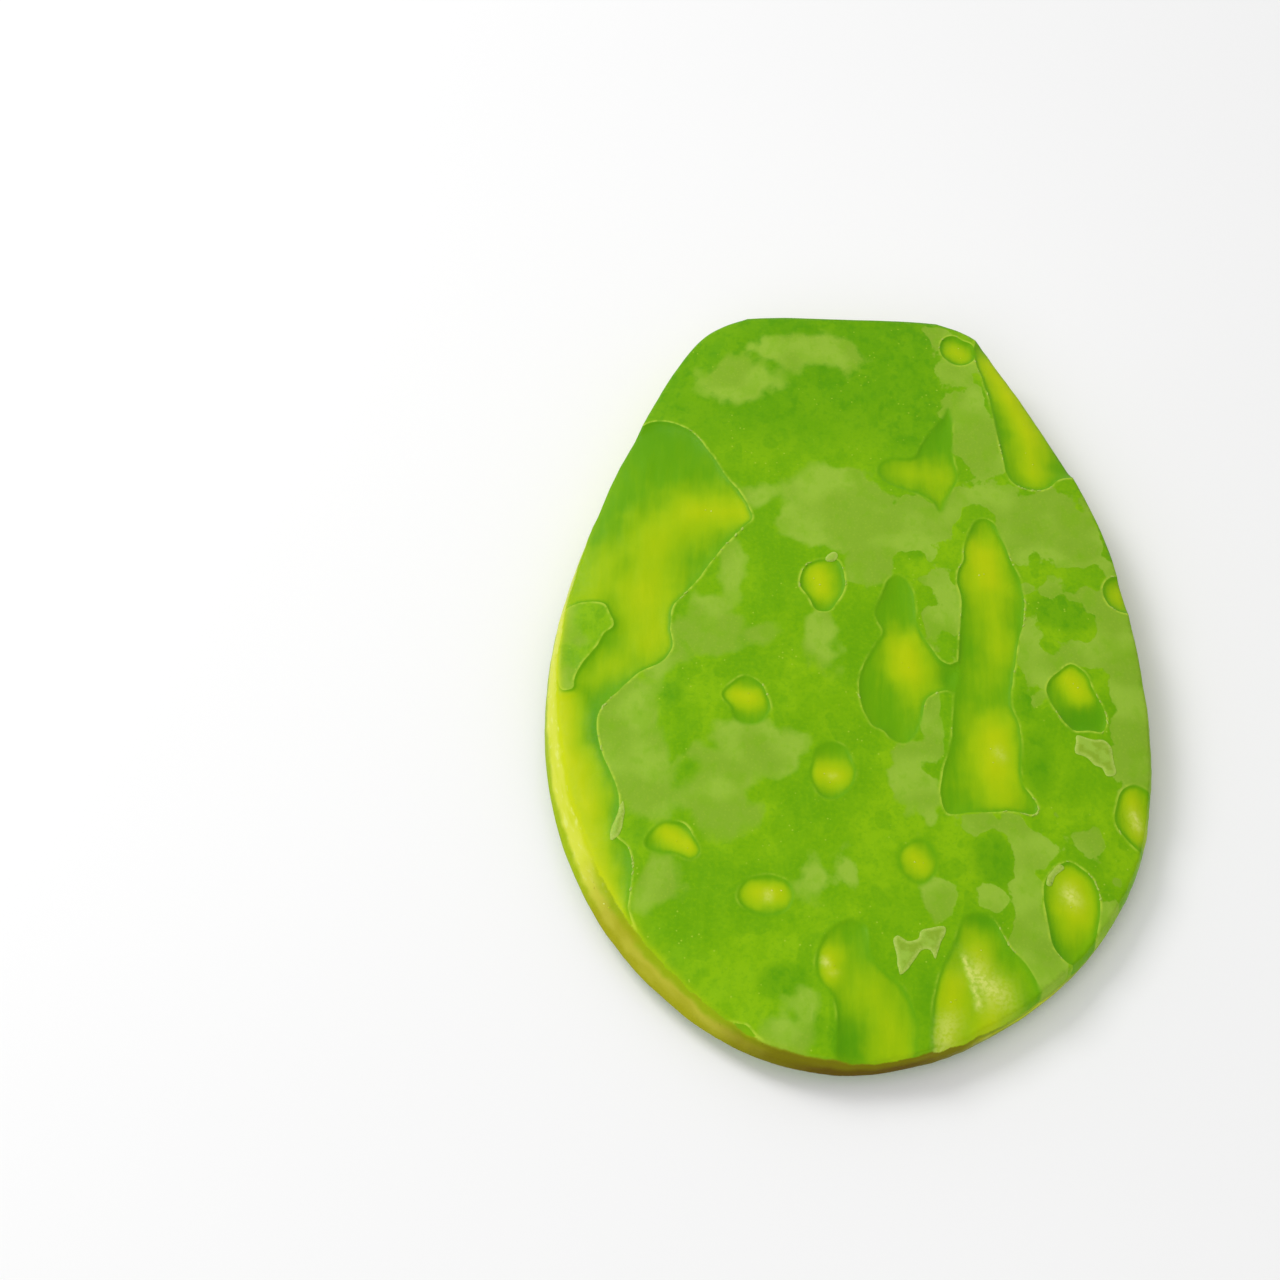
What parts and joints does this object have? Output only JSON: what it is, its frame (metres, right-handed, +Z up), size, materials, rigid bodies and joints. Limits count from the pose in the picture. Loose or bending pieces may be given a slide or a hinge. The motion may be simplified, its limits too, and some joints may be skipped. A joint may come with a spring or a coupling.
{
  "type": "prickly pear cactus pad",
  "caption": "Cleaned prickly pear cactus pad, an oval green paddle with shaved hollows where its spines were, cut flat at the stem end and lying flat",
  "frame": {"origin": "under the middle of the pad's box, on the surface that it rests on", "axes": "+Z up out of the upper face, +Y along the pad towards the cut stem end, +X to the right of the upper face"},
  "size_m": [0.1219, 0.1859, 0.0146],
  "materials": {
    "pad_skin": "moist waxy skin, satin where it is dry and glossy where it is wet, with paler cut flesh"
  },
  "bodies": {
    "root": {"pad": "pad_skin"}
  },
  "joints": []
}
